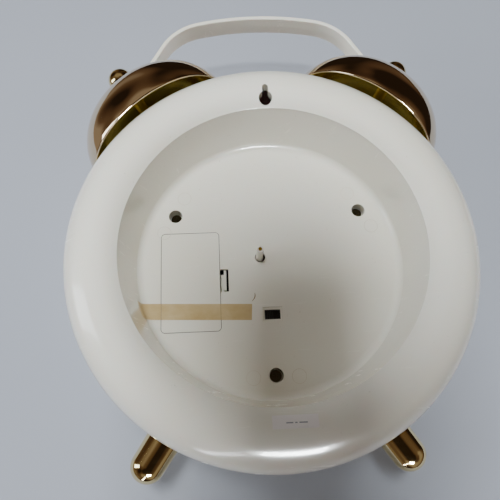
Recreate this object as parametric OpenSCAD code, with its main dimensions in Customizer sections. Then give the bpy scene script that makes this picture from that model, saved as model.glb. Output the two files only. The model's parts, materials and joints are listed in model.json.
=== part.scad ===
// Jumbo twin-bell clock for a table or a wall.
// The dial faces -Y and the back faces +Y. The origin is on the table, under the middle of the case.

/* [Case] */
// Diameter of the round case
case_d = 240; // [236:1:244]
// Depth of the case from the lens ring to the back rim
case_depth = 112; // [110:1:116]
// Height of the case's axis above the table
axis_z = 126; // [125:0.5:128]
// Thickness of the moulded walls
wall = 2.5; // [2:0.1:3]
// Radius of the big rounding at the back
back_round = 21.4; // [19:0.2:23]
// Depth of the recess in the back
recess_depth = 44; // [42:1:45]
// Radius of the recess at its mouth
recess_mouth_r = 87; // [86:0.5:88]
// Radius of the recess at its floor
recess_floor_r = 82.6; // [81.5:0.1:83]

/* [Bells] */
// Tilt of each bell from the vertical
bell_angle = 34.5; // [33:0.5:36]
// Radius of a bell at its rim
bell_r = 53.8; // [52:0.1:54]
// Height of a bell from its rim to its crown
bell_h = 42; // [41:0.5:43]
// Thickness of the bell metal
bell_t = 1.2; // [1:0.1:1.4]
// Radius of the ball nut on each bell
ball_r = 8.6; // [8:0.1:8.8]

/* [Handle] */
// Width of the handle band, front to back
handle_w = 16; // [14:0.5:17]
// Thickness of the handle band
handle_t = 3; // [2.4:0.1:3.2]

/* [Legs] */
// Tilt of each leg from the vertical
leg_angle = 34; // [33:0.1:35]
// Radius of a leg at the case
leg_r = 10.9; // [10.4:0.1:11.2]
// Radius of a leg's round tip
leg_tip_r = 10.3; // [10:0.1:10.4]
// How far the legs stand in front of the middle of the case
leg_forward = 8; // [6:1:10]

/* [Controls] */
// Sideways place of the time knob
knob_x = 6.5; // [6.3:0.1:6.7]
// Height of the time knob over the case's axis
knob_v = 5; // [4.8:0.1:5.2]
// How far the knob stands out of the recess floor
knob_out = 17; // [14:1:20]
// Travel of the slide switch
switch_travel = 3.6; // [3:0.1:3.8]

/* [Battery bay] */
// Width of the battery door
door_w = 36; // [36:0.5:36.5]
// Height of the battery door
door_h = 62.4; // [62:0.2:63]
// Diameter of an AA cell
cell_d = 14.2; // [14:0.1:14.3]

/* [Hidden] */
$fn = 96;

ivory = [0.90, 0.88, 0.82];
gold = [0.80, 0.66, 0.36];
brass = [0.72, 0.58, 0.28];
steel = [0.66, 0.66, 0.66];
black = [0.06, 0.06, 0.06];
grey = [0.35, 0.36, 0.38];

// The case along Y
case_r = case_d / 2;
back_y = case_depth / 2;
floor_y = back_y - recess_depth;
seam_y = -22;
round_y = back_y - back_round;
round_r = case_r - back_round;
floor_under_y = floor_y - wall;
// The rim's inner side falls from its crest to the sharp mouth of the recess
rim_round = 17.2;
rim_c = [round_r, back_y - rim_round];
mouth_y = back_y - 4.5;
cove_r = 4.6;
seam_groove = 0.4;

// The front
front_round = 16;
bead_h = 2;
front_flat_y = -back_y + bead_h;
front_round_y = front_flat_y + front_round;
opening_r = 97;
lens_r = 100.7;
lens_t = 1.6;
bead_w = 5.5;
bead_round = (pow(bead_w / 2, 2) + pow(bead_h, 2)) / (2 * bead_h);

// The dial and its carrier
dial_y = -39;
dial_t = 1;
carrier_t = 2.5;
carrier_back_y = dial_y + dial_t + carrier_t;
carrier_r = 114.5;
post_r = 4.5;
dial_hole_r = 4.2;

// Case screws in their wells
screw_circle_r = 67.9;
screw_angles = [30, 150, 270];
well_r = 4.3;
well_depth = 9;
well_wall = 2;
boss_r = 6.4;
screw_r = 1.75;
screw_head_r = 3.5;
screw_head_h = 2.4;
screw_len = 25;
screw_hole_r = 2.1;

// The wall-hanging keyhole, in a flat pad inside the hollow rim
key_entry_v = 92;
key_slot_v = 98.6;
key_entry_r = 4;
key_slot_r = 1.8;
key_pad_y = back_y - 6.5;
key_head_r = 4.3;
key_head_room = 5.5;

// Slide switch
switch_x = 0.2;
switch_v = -31.6;
switch_recess = [11.8, 9.1];
switch_slot = [9.6, 5.9];
lever_size = [5.6, 5.4];

// Battery bay. The door hinges on its +X edge.
door_x = 31.7;
door_v = -40.4;
door_t = 1.5;
gap = 0.35;
ledge = 1.8;
door_mid_v = door_v + door_h / 2;
hinge_x = door_x + door_w + 0.3;
tab_vs = [door_mid_v - 20, door_mid_v + 20];
tab_w = 6;
latch_v = -9.3;
latch_w = 5.1;
latch_h = 13.6;
latch_play = 0.45;
latch_depth = 5;
latch_reach = 4;
latch_base_h = 10.9;
tray_wall = 1.4;
tray_x0 = door_x + ledge + 0.6;
tray_x1 = door_x + door_w - ledge - 0.6;
tray_v0 = door_v + ledge;
tray_v1 = door_v + door_h - ledge;
cell_y = floor_y - door_t - 0.7 - cell_d / 2;
tray_floor_y = cell_y - cell_d / 2 - 0.4;
cell_len = 48.5;
nub_len = 1.8;
cell_v0 = door_mid_v - cell_len / 2 - nub_len / 2;
cell_xs = [(tray_x0 + tray_x1) / 2 - cell_d / 2 - 0.3, (tray_x0 + tray_x1) / 2 + cell_d / 2 + 0.3];

// A bell on its post, measured along the bell's own axis from the case's axis
bell_d = case_r + 0.3;
shoulder_r = 38;
shoulder_c = bell_r - shoulder_r;
crown_r = (pow(shoulder_c, 2) + pow(bell_h, 2) - pow(shoulder_r, 2)) / (2 * (bell_h - shoulder_r));
crown_c = crown_r - bell_h;
join_angle = atan2(crown_c, shoulder_c);
crown_d = bell_d + bell_h;
stud_r = 2;
stud_hole_r = 2.1;
post_body_r = 4;
washer_d0 = crown_d + 0.05;
washer_t = 1.2;
tab_d0 = washer_d0 + washer_t + 0.05;
nut_d0 = tab_d0 + handle_t;
ball_d = nut_d0 + ball_r + 0.2;

// The handle: a long top arc, a tighter arc at each corner, then a straight run and a bend down to a tab
top_arc_r = 207;
top_arc_c = -15.4;
corner_r = 39.4;
corner_a0 = 12;
corner_a1 = 60;
corner_c = [0, top_arc_c] + (top_arc_r - corner_r) * up(corner_a0);
bend_r = 6;
tab_end = 7;
// Where the straight run starts, shifted to the line of the bend's centre, and how far it runs
run_start = corner_c + (corner_r + bend_r) * up(corner_a1);
run_len = (run_start * up(bell_angle) - nut_d0 - bend_r) / sin(corner_a1 - bell_angle);
bend_c = run_start + run_len * across(corner_a1);
rebate = 0.9;

// Legs
leg_tip_d = (axis_z - leg_tip_r) / cos(leg_angle);
leg_bore_depth = 12;

// The movement: a square quartz module behind the carrier
move_w = 56;
move_y0 = carrier_back_y;
move_y1 = move_y0 + 16;
move_split_y = move_y0 + 9;
move_wall = 1.2;
bush_r = 4;
bush_y = -43.5;
train_y = move_y0 + move_wall;
cover_in_y = move_y1 - move_wall;

// Running fits of the coaxial tubes and pivots
hour_pipe = [1.78, 2.6];
minute_pipe = [0.58, 1.7];
second_arbor_r = 0.5;
bush_bore_r = 2.66;
pivot_r = 0.4;
pivot_hole_r = 0.46;
arbor_r = 1.15;
arbor_thin_r = 0.8;

// Teeth, and the places of the wheels that are off the centre
knob_d = norm([knob_x, knob_v]);
knob_a = atan2(knob_v, knob_x);
motion_m = knob_d / 20;
train_d = 7.8;
third_a = 200;
third_c = train_d * [cos(third_a), sin(third_a)];
inter_a = 110;
inter_c = train_d * [cos(inter_a), sin(inter_a)];
rotor_m = 0.25;
rotor_d = 30 * rotor_m;
rotor_a = 140;
rotor_c = inter_c + rotor_d * [cos(rotor_a), sin(rotor_a)];
centre_m = train_d / 36;
third_m = train_d / 34;
second_m = train_d / 35;
coil_c = [-8, 21.5];
coil_y = -27.4;

// Draws a flat outline in X and height over the case's axis, solid from y0 to y1
module slab(y0, y1) {
    translate([0, y1, axis_z]) rotate([90, 0, 0]) linear_extrude(y1 - y0) children();
}

// Turns an outline of radius and Y about the case's axis
module turned() {
    translate([0, 0, axis_z]) rotate([-90, 0, 0]) rotate_extrude() children();
}

// A round bar along Y, centred on c
module bar(c, r, y0, y1) {
    translate([c[0], y0, axis_z + c[1]]) rotate([-90, 0, 0]) cylinder(r = r, h = y1 - y0);
}

// Puts +Z along a bell's axis, or along a leg's, starting at the case's axis. side is 1 for +X.
module along_bell(side) {
    translate([0, 0, axis_z]) rotate([0, side * bell_angle, 0]) children();
}

module along_leg(side) {
    translate([0, -leg_forward, axis_z]) rotate([0, side * (180 - leg_angle), 0]) children();
}

module round_rect(w, h, r) {
    square([w - 2 * r, h], center = true);
    square([w, h - 2 * r], center = true);
    for (i = [-1, 1], j = [-1, 1]) translate([i * (w / 2 - r), j * (h / 2 - r)]) circle(r);
}

// A wedge from angle a0 to a1, measured from the +Y direction towards +X, out to radius r
module wedge(a0, a1, r) {
    far = r / cos((a1 - a0) / 2);
    polygon([[0, 0], [far * sin(a0), far * cos(a0)], [far * sin(a1), far * cos(a1)]]);
}

module arc_band(r0, r1, a0, a1) {
    intersection() {
        difference() {
            circle(r1, $fn = 240);
            circle(r0, $fn = 240);
        }
        wedge(a0, a1, 1.2 * r1);
    }
}

// A spur gear outline: teeth slimmer than half the pitch, so that pairs run with play.
// bore_r is 0 where the gear is one piece with its arbor.
module gear(m, teeth, bore_r, phase) {
    pitch_r = m * teeth / 2;
    root_r = pitch_r - 1.1 * m;
    tip_r = pitch_r + 0.75 * m;
    step = 360 / teeth;
    difference() {
        rotate(phase) polygon([for (i = [0 : teeth - 1]) each [
            root_r * [cos((i - 0.26) * step), sin((i - 0.26) * step)],
            tip_r * [cos((i - 0.10) * step), sin((i - 0.10) * step)],
            tip_r * [cos((i + 0.10) * step), sin((i + 0.10) * step)],
            root_r * [cos((i + 0.26) * step), sin((i + 0.26) * step)]]]);
        if (bore_r > 0) circle(bore_r);
    }
}

// Phase that puts a gap of a follower opposite the driver's tooth, which points along angle a
function gap_phase(a, teeth) = a + 180 + 180 / teeth;

// ---- Case ----

// The case's outside at the back, drawn in by t
module back_outline(t) {
    translate([0, seam_y]) square([case_r - t, round_y - seam_y]);
    translate([round_r, round_y]) circle(back_round - t);
    translate([0, round_y]) square([round_r, back_round - t]);
}

// The recess, grown by g into the material
module recess_outline(g) {
    top = back_y + 5;
    translate([0, floor_y - g]) square([recess_floor_r - cove_r, cove_r + g]);
    translate([recess_floor_r - cove_r, floor_y + cove_r]) circle(cove_r + g);
    polygon([[0, floor_y + cove_r], [recess_floor_r + g, floor_y + cove_r], [recess_mouth_r + g, mouth_y],
        [recess_mouth_r + g, top], [0, top]]);
    difference() {
        translate([recess_mouth_r, rim_c[1]]) square([round_r - recess_mouth_r, rim_round + 5]);
        translate(rim_c) circle(rim_round - g);
    }
}

module case_shell() {
    turned() difference() {
        back_outline(0);
        recess_outline(0);
        difference() {
            translate([0, -0.01]) back_outline(wall);
            recess_outline(wall);
        }
        translate([case_r - seam_groove, seam_y - 1]) square([1, 1 + seam_groove]);
    }
    // Tongue that clamps the dial carrier against the front case
    turned() {
        translate([carrier_r - 2, carrier_back_y]) square([2.5, seam_y - carrier_back_y]);
        translate([carrier_r - 2, seam_y]) square([case_r - wall / 2 - carrier_r + 2, 5]);
    }
}

module screw_spots() {
    for (a = screw_angles) translate(screw_circle_r * [cos(a), sin(a)]) children();
}

module rear_case() color(ivory) {
    difference() {
        union() {
            case_shell();
            slab(floor_y - well_depth - well_wall, floor_y - 0.5) screw_spots() circle(boss_r);
            // Pad behind the keyhole, in the hollow of the rim
            intersection() {
                slab(key_pad_y, back_y) translate([0, 95]) square([16, 24], center = true);
                turned() difference() {
                    back_outline(0.1);
                    recess_outline(0.1);
                }
            }
            // Bosses inside the wall for the bell posts and the leg screws
            for (side = [-1, 1]) {
                along_bell(side) translate([0, 0, case_r - 7]) cylinder(r = 7, h = 6);
                along_leg(side) translate([0, 0, case_r - 7]) cylinder(r = 7, h = 6);
            }
        }
        slab(floor_y - well_depth, back_y) screw_spots() circle(well_r);
        slab(floor_y - well_depth - 5, floor_y) screw_spots() circle(screw_hole_r);
        // Keyhole, and room behind its entry for the screw's head
        slab(key_pad_y, back_y + 1) {
            translate([0, key_entry_v]) circle(key_entry_r);
            translate([-key_slot_r, key_entry_v]) square([2 * key_slot_r, key_slot_v - key_entry_v]);
            translate([0, key_slot_v]) circle(key_slot_r);
        }
        slab(key_pad_y - key_head_room, key_pad_y) translate([0, key_entry_v]) circle(key_head_r);
        // Knob hole
        bar([knob_x - 0.4, knob_v - 0.2], 3.25, floor_y - 5, floor_y + 5);
        // Slide switch
        slab(floor_y - 0.8, floor_y + 5) translate([switch_x, switch_v]) square(switch_recess, center = true);
        slab(floor_y - 5, floor_y + 5) translate([switch_x, switch_v]) square(switch_slot, center = true);
        // Battery door seat, bay mouth, latch window and the notches for the door's hooks
        slab(floor_y - door_t, floor_y + 5) translate([door_x + door_w / 2, door_mid_v])
            round_rect(door_w + 2 * gap, door_h + 2 * gap, 2.5);
        slab(floor_y - 5, floor_y) translate([door_x + ledge, door_v + ledge])
            square([door_w - 2 * ledge, door_h - 2 * ledge]);
        slab(floor_y - 5, floor_y + 5) translate([door_x - latch_w - gap, latch_v - latch_h / 2 - gap])
            square([latch_w + 2, latch_h + 2 * gap]);
        slab(floor_y - 5, floor_y - door_t / 2) for (v = tab_vs) translate([hinge_x - 4.5, v - tab_w / 2 - 0.5])
            square([4.3, tab_w + 1]);
        for (side = [-1, 1]) {
            along_bell(side) translate([0, 0, case_r - 20]) cylinder(r = stud_hole_r, h = 40);
            along_leg(side) translate([0, 0, case_r - 20]) cylinder(r = stud_hole_r, h = 40);
        }
    }
}

module front_outline(t) {
    translate([0, front_round_y]) square([case_r - t, seam_y - front_round_y]);
    translate([case_r - front_round, front_round_y]) circle(front_round - t);
    translate([0, front_flat_y + t]) square([case_r - front_round, front_round - t]);
}

module front_case() color(ivory) {
    turned() {
        difference() {
            front_outline(0);
            front_outline(wall);
            translate([0, front_flat_y - 1]) square([opening_r, case_depth]);
            translate([0, front_flat_y - 1]) square([lens_r + 0.3, lens_t + 1]);
        }
        // Reveal round the dial, whose back edge is the seat of the dial carrier
        translate([opening_r, front_flat_y + lens_t]) square([2.5, dial_y + dial_t - front_flat_y - lens_t]);
    }
}

module lens_ring() color(gold) turned() intersection() {
    translate([case_r - front_round - bead_w / 2, front_flat_y - bead_h + bead_round]) circle(bead_round);
    translate([0, front_flat_y - 10]) square([case_r, 10]);
}

module lens() color([0.85, 0.92, 0.95, 0.35]) turned() translate([0, front_flat_y]) square([lens_r, lens_t]);

module dial_plate() color([0.95, 0.94, 0.90]) slab(dial_y, dial_y + dial_t) difference() {
    circle(opening_r - 0.4);
    circle(dial_hole_r);
}

// Twelve hour bars and the minute dots between them
module hour_markers() color(black) slab(dial_y - 0.4, dial_y) for (i = [0 : 59]) rotate(6 * i)
    if (i % 5 == 0) translate([-1.3, 84]) square([2.6, 9]);
    else translate([0, 90]) circle(0.9, $fn = 24);

module dial_carrier() color(grey) difference() {
    union() {
        slab(dial_y + dial_t, carrier_back_y) circle(carrier_r);
        slab(carrier_back_y - 0.5, floor_y - well_depth - well_wall - 0.2) screw_spots() circle(post_r);
    }
    slab(dial_y, carrier_back_y + 1) circle(dial_hole_r);
    slab(carrier_back_y + 2, floor_y) screw_spots() circle(screw_r + 0.05);
}

// A pan-head screw, its head's seat at z = 0 and its shank along -Z
module pan_screw(shank_r, len, head_r, head_h) {
    difference() {
        cylinder(r = head_r, h = head_h);
        translate([-head_r * 0.6, -0.4, head_h / 2]) cube([head_r * 1.2, 0.8, head_h]);
        translate([-0.4, -head_r * 0.6, head_h / 2]) cube([0.8, head_r * 1.2, head_h]);
    }
    translate([0, 0, -len]) cylinder(r = shank_r, h = len);
}

module case_screws() color([0.62, 0.56, 0.42]) for (a = screw_angles)
    translate([screw_circle_r * cos(a), floor_y - well_depth, axis_z + screw_circle_r * sin(a)])
        rotate([-90, 0, 0]) pan_screw(screw_r, screw_len, screw_head_r, screw_head_h);

// ---- Bells, posts and handle ----

module bell(side) color(gold) along_bell(side) translate([0, 0, bell_d]) difference() {
    rotate_extrude($fn = 180) intersection() {
        union() {
            translate([shoulder_c, 0]) arc_band(shoulder_r - bell_t, shoulder_r, 90 - join_angle, 90);
            translate([0, -crown_c]) arc_band(crown_r - bell_t, crown_r, 0, 90 - join_angle);
        }
        square(2 * bell_r);
    }
    cylinder(r = stud_hole_r, h = 2 * bell_h);
}

module bell_left() bell(1);
module bell_right() bell(-1);

module bell_post(side) color(gold) along_bell(side) {
    translate([0, 0, case_r + 0.1]) cylinder(r = post_body_r, h = crown_d - bell_t - 0.2 - case_r - 0.1);
    translate([0, 0, case_r - 13]) cylinder(r = stud_r, h = ball_d - case_r + 13);
}

module bell_post_left() bell_post(1);
module bell_post_right() bell_post(-1);

module post_nuts() color(steel) for (side = [-1, 1]) along_bell(side) translate([0, 0, case_r - 10.2])
    difference() {
        cylinder(r = 4.04, h = 3.2, $fn = 6);
        translate([0, 0, -1]) cylinder(r = stud_r + 0.05, h = 6);
    }

module bell_washers() color(black) for (side = [-1, 1]) along_bell(side) translate([0, 0, washer_d0])
    difference() {
        cylinder(r = 6, h = washer_t);
        translate([0, 0, -1]) cylinder(r = stud_hole_r, h = 4);
    }

module ball_nut(side) color(gold) along_bell(side) difference() {
    union() {
        translate([0, 0, nut_d0]) cylinder(r = 4.2, h = ball_d - nut_d0);
        translate([0, 0, ball_d]) sphere(ball_r);
    }
    translate([0, 0, nut_d0 - 1]) cylinder(r = stud_r, h = ball_d - nut_d0 + 1);
}

module ball_nut_left() ball_nut(1);
module ball_nut_right() ball_nut(-1);

function up(a) = [sin(a), cos(a)];
function across(a) = [cos(a), -sin(a)];

// One side of the handle, at depth d under its outer face, from the middle of the top arc outwards
function arc_edge(d) = concat(
    [for (a = [0 : 3 : corner_a0]) [0, top_arc_c] + (top_arc_r - d) * up(a)],
    [for (a = [corner_a0 + 3 : 3 : corner_a1]) corner_c + (corner_r - d) * up(a)]);
function half_edge(d) = concat(
    arc_edge(d),
    [for (i = [0 : 4]) bend_c - (bend_r + d) * up(corner_a1 + (bell_angle - corner_a1) * i / 4)],
    [(nut_d0 - d) * up(bell_angle) + tab_end * across(bell_angle)]);
function rebate_edge(d) = let (edge = arc_edge(d), last = len(edge) - 1)
    concat([for (i = [0 : last - 1]) edge[i]], [(edge[last - 1] + edge[last]) / 2]);

function mirrored(pts) = [for (i = [len(pts) - 1 : -1 : 1]) [-pts[i][0], pts[i][1]]];
function reversed(pts) = [for (i = [len(pts) - 1 : -1 : 0]) pts[i]];
function both_sides(pts) = concat(mirrored(pts), pts);

module handle() color(ivory) difference() {
    slab(-handle_w / 2, handle_w / 2)
        polygon(concat(both_sides(half_edge(0)), reversed(both_sides(half_edge(handle_t)))));
    // The front half of the band is thinner, which leaves a step along its inner face
    slab(-handle_w / 2 - 1, 0) polygon(concat(
        both_sides(rebate_edge(handle_t - rebate)),
        reversed(both_sides(rebate_edge(2 * handle_t)))));
    for (side = [-1, 1]) along_bell(side) translate([0, 0, tab_d0 - 5]) cylinder(r = stud_hole_r, h = 12);
}

// ---- Legs ----

module leg(side) color(gold) difference() {
    along_leg(side) {
        translate([0, 0, case_r - 5]) cylinder(r1 = leg_r, r2 = leg_tip_r, h = leg_tip_d - case_r + 5);
        translate([0, 0, leg_tip_d]) sphere(leg_tip_r);
    }
    // Saddle that sits on the round case
    bar([0, 0], case_r + 0.1, seam_y - 10, round_y);
    along_leg(side) translate([0, 0, case_r - 10]) cylinder(r = stud_r, h = leg_bore_depth + 10);
}

module leg_left() leg(1);
module leg_right() leg(-1);

module leg_screws() color(steel) for (side = [-1, 1]) along_leg(side) translate([0, 0, case_r - 7])
    mirror([0, 0, 1]) pan_screw(stud_r - 0.02, leg_bore_depth + 5, 3.8, 2.6);

// ---- Battery bay ----

module battery_door() color(ivory) {
    latch_v0 = latch_v - latch_h / 2 + latch_play;
    slab(floor_y - door_t, floor_y) translate([door_x + door_w / 2, door_mid_v])
        round_rect(door_w, door_h, 2.25);
    // U-shaped spring latch: down from the door's edge, across, and up to the finger ridge
    slab(floor_y - latch_depth, floor_y - door_t + 0.2) translate([door_x, latch_v0])
        square([0.8, latch_base_h]);
    slab(floor_y - latch_depth, floor_y - latch_depth + 1) translate([door_x - latch_reach, latch_v0])
        square([latch_reach + 0.5, latch_base_h]);
    slab(floor_y - latch_depth, floor_y - 0.3) translate([door_x - latch_reach, latch_v0])
        square([1.4, latch_h - 2 * latch_play]);
    // Hooks under the hinge edge
    for (v = tab_vs) {
        slab(floor_y - 3.6, floor_y - door_t + 0.2) translate([hinge_x - 1.6, v - tab_w / 2]) square([1.2, tab_w]);
        slab(floor_y - 3.6, floor_y - 2.8) translate([hinge_x - 1.6, v - tab_w / 2]) square([3, tab_w]);
    }
}

module battery_tray() color(ivory) difference() {
    slab(tray_floor_y - tray_wall, floor_under_y) translate([tray_x0 - tray_wall, tray_v0 - tray_wall])
        square([tray_x1 - tray_x0 + 2 * tray_wall, tray_v1 - tray_v0 + 2 * tray_wall]);
    slab(tray_floor_y, floor_y) translate([tray_x0, tray_v0]) square([tray_x1 - tray_x0, tray_v1 - tray_v0]);
    for (v = tab_vs) slab(floor_under_y - 5, floor_y) translate([tray_x1 - 1, v - tab_w / 2 - 0.8])
        square([6, tab_w + 1.6]);
}

module cell() {
    cylinder(r = cell_d / 2, h = cell_len);
    translate([0, 0, cell_len - 0.5]) cylinder(r = 2.7, h = nub_len + 0.5);
}

// Two AA cells side by side, pointing opposite ways
module battery_cells() color([0.20, 0.30, 0.24]) {
    translate([cell_xs[0], cell_y, axis_z + cell_v0]) cell();
    translate([cell_xs[1], cell_y, axis_z + cell_v0 + cell_len + nub_len]) rotate([180, 0, 0]) cell();
}

// A conical contact spring, drawn as its ribbed envelope
module contact_spring(h) {
    rotate_extrude() polygon([[0, 0], [4.6, 0], [4.2, h / 4], [4.4, h / 2], [3.4, 0.7 * h], [3, h], [0, h]]);
}

module contact_springs() color(steel) {
    top_gap = tray_v1 - 0.5 - (cell_v0 + cell_len + nub_len);
    low_gap = cell_v0 - tray_v0 - 0.5;
    translate([cell_xs[0], cell_y, axis_z + tray_v0 + 0.5]) contact_spring(low_gap);
    translate([cell_xs[1], cell_y, axis_z + tray_v1 - 0.5]) rotate([180, 0, 0]) contact_spring(top_gap);
}

module contact_plates() color(steel) for (x = cell_xs, end = [0, 1])
    translate([x - 5.5, cell_y - 5.5, axis_z + (end == 0 ? tray_v0 : tray_v1 - 0.5)]) cube([11, 11, 0.5]);

// ---- Switch ----

module switch_lever() color(black) {
    translate([switch_travel / 2, 0, 0]) {
        slab(floor_under_y - 1, floor_y - 1.2) translate([switch_x, switch_v]) square(lever_size, center = true);
        for (i = [-2 : 2]) slab(floor_y - 1.4, floor_y - 0.5)
            translate([switch_x + i * 1.1, switch_v]) square([0.6, lever_size[1]], center = true);
    }
}

module switch_body() color(black) difference() {
    slab(floor_under_y - 5, floor_under_y) translate([switch_x, switch_v]) square([13, 9], center = true);
    slab(floor_under_y - 1.2, floor_y) translate([switch_x, switch_v])
        square([switch_slot[0] + 0.2, lever_size[1] + 0.3], center = true);
}

// ---- Setting knob and motion work ----

module time_knob() color(ivory) difference() {
    translate([knob_x, floor_y - 8, axis_z + knob_v]) rotate([-90, 0, 0])
        cylinder(r1 = 2.6, r2 = 2.15, h = knob_out + 8);
    bar([knob_x, knob_v], arbor_r, floor_y - 9, floor_y + knob_out + 1);
}

module setting_arbor() color(brass) {
    bar([knob_x, knob_v], arbor_thin_r, train_y - 0.8, move_y1 - 4);
    bar([knob_x, knob_v], arbor_r, move_y1 - 4, floor_y + knob_out - 0.8);
}

module motion_wheel() color(ivory) {
    slab(train_y + 0.3, train_y + 2.4) translate([knob_x, knob_v]) gear(motion_m, 8, arbor_thin_r, knob_a + 180);
    slab(train_y + 2.4, train_y + 3.3) translate([knob_x, knob_v])
        gear(motion_m, 30, arbor_thin_r, gap_phase(knob_a, 30));
}

module minute_cannon() color(brass) {
    slab(train_y + 2, train_y + 3.6) gear(motion_m, 10, minute_pipe[0], knob_a);
    slab(-49, train_y + 2) difference() {
        circle(minute_pipe[1]);
        circle(minute_pipe[0]);
    }
    slab(train_y + 3.6, train_y + 5.3) difference() {
        circle(1.2);
        circle(minute_pipe[0]);
    }
}

module hour_wheel() color(ivory) {
    slab(train_y + 0.5, train_y + 1.5) gear(motion_m, 32, hour_pipe[0], knob_a + 180 / 32);
    slab(-46, train_y + 0.5) difference() {
        circle(hour_pipe[1]);
        circle(hour_pipe[0]);
    }
}

// ---- Going train ----

// A wheel and its pinion on one arbor that runs from the base to the cover
module train_wheel(c, arbor) {
    bar(c, arbor, train_y - 0.7, cover_in_y + 0.7);
    translate([c[0], 0, c[1]]) children();
}

module centre_wheel() color(brass) slab(train_y + 4, train_y + 4.8) gear(centre_m, 64, 1.25, third_a + 180 / 64);

module third_wheel() color(brass) train_wheel(third_c, pivot_r) {
    slab(train_y + 3.8, train_y + 6.2) gear(centre_m, 8, 0, third_a + 180);
    slab(train_y + 6.2, train_y + 6.9) gear(third_m, 60, 0, gap_phase(third_a, 60));
}

module second_wheel() color(brass) {
    slab(-52, cover_in_y + 0.7) circle(second_arbor_r);
    slab(train_y + 5.9, train_y + 7.2) gear(third_m, 8, 0, third_a);
    slab(train_y + 7.6, train_y + 8.2) gear(second_m, 60, 0, inter_a + 180 / 60);
    slab(train_y + 7.1, train_y + 7.7) circle(1);
}

module intermediate_wheel() color(ivory) train_wheel(inter_c, pivot_r) {
    slab(train_y + 7.4, train_y + 9.2) gear(second_m, 10, 0, inter_a + 180);
    slab(train_y + 9.2, train_y + 9.8) gear(rotor_m, 50, 0, rotor_a + 180 / 50);
}

module rotor() color(grey) train_wheel(rotor_c, pivot_r) {
    slab(train_y + 9, train_y + 10.4) gear(rotor_m, 10, 0, rotor_a + 180);
    slab(train_y + 10.2, train_y + 12) circle(2.6);
}

module stator() color(steel) {
    difference() {
        slab(train_y + 10.7, train_y + 11.5) translate([coil_c[0], 16]) round_rect(25, 16, 2);
        bar(rotor_c, 3, train_y + 9, train_y + 13);
    }
    for (s = [-1, 1]) slab(coil_y - 1.2, train_y + 10.7) translate([coil_c[0] + s * 11.2, coil_c[1]])
        square([2.4, 2.4], center = true);
    slab(coil_y - 1.2, coil_y + 1.2) translate(coil_c) square([20, 2.4], center = true);
}

module coil() color([0.62, 0.30, 0.12]) translate([coil_c[0] - 9.8, coil_y, axis_z + coil_c[1]])
    rotate([0, 90, 0]) difference() {
        union() {
            cylinder(r = 3.1, h = 19.6);
            cylinder(r = 3.6, h = 1);
            translate([0, 0, 18.6]) cylinder(r = 3.6, h = 1);
        }
        translate([0, 0, -1]) cylinder(r = 1.75, h = 30);
    }

module circuit_board() {
    color([0.10, 0.35, 0.18]) slab(cover_in_y - 2, cover_in_y - 1) translate([14, -16]) round_rect(20, 14, 1);
    color(steel) translate([9, cover_in_y - 3.6, axis_z - 20]) rotate([0, 90, 0]) cylinder(r = 1.5, h = 8);
    color(black) slab(cover_in_y - 3, cover_in_y - 2) translate([17, -13]) round_rect(5, 5, 1);
}

module movement_base() color(black) {
    difference() {
        slab(move_y0, move_split_y) round_rect(move_w, move_w, 3);
        slab(train_y, move_y1) round_rect(move_w - 2 * move_wall, move_w - 2 * move_wall, 1.8);
        slab(move_y0 - 1, train_y + 1) circle(bush_bore_r);
        bar([knob_x, knob_v], arbor_thin_r + 0.06, train_y - 0.9, train_y + 1);
        for (c = [third_c, inter_c, rotor_c]) bar(c, pivot_hole_r, train_y - 0.8, train_y + 1);
    }
    slab(bush_y, move_y0) difference() {
        circle(bush_r);
        circle(bush_bore_r);
    }
}

module movement_cover() color(black) difference() {
    slab(move_split_y, move_y1) round_rect(move_w, move_w, 3);
    slab(move_split_y - 1, cover_in_y) round_rect(move_w - 2 * move_wall, move_w - 2 * move_wall, 1.8);
    bar([knob_x, knob_v], arbor_r + 0.06, cover_in_y - 1, move_y1 + 1);
    bar([0, 0], second_arbor_r + 0.06, cover_in_y - 1, cover_in_y + 0.8);
    for (c = [third_c, inter_c, rotor_c]) bar(c, pivot_hole_r, cover_in_y - 1, cover_in_y + 0.8);
}

module movement_nut() color(brass) slab(dial_y - 3, dial_y - 0.5) difference() {
    circle(r = 7, $fn = 6);
    circle(bush_r);
}

module movement_washer() color(black) slab(dial_y - 0.5, dial_y) difference() {
    circle(7.5);
    circle(bush_r + 0.1);
}

// ---- Hands ----

// A tapering hand that points to 12, with a round hub pressed on its pipe
module hand(len, tail, w, hub_r, bore_r) difference() {
    union() {
        polygon([[-w / 2, -tail], [w / 2, -tail], [w, len * 0.25], [w / 4, len], [-w / 4, len], [-w, len * 0.25]]);
        circle(hub_r);
    }
    circle(bore_r);
}

module hour_hand() color(black) rotate_about_axis(60) slab(-45.8, -45) hand(50, 10, 4, 5.5, hour_pipe[1]);

module minute_hand() color(black) rotate_about_axis(-54) slab(-48.8, -48) hand(76, 12, 3, 4.5, minute_pipe[1]);

module second_hand() color([0.62, 0.10, 0.08]) rotate_about_axis(150) {
    slab(-51.6, -51) hand(80, 24, 0.9, 3, second_arbor_r);
    slab(-51, -49.6) difference() {
        circle(1.4);
        circle(second_arbor_r);
    }
}

// Turns a hand clockwise as seen from the front
module rotate_about_axis(a) {
    translate([0, 0, axis_z]) rotate([0, a, 0]) translate([0, 0, -axis_z]) children();
}

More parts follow.
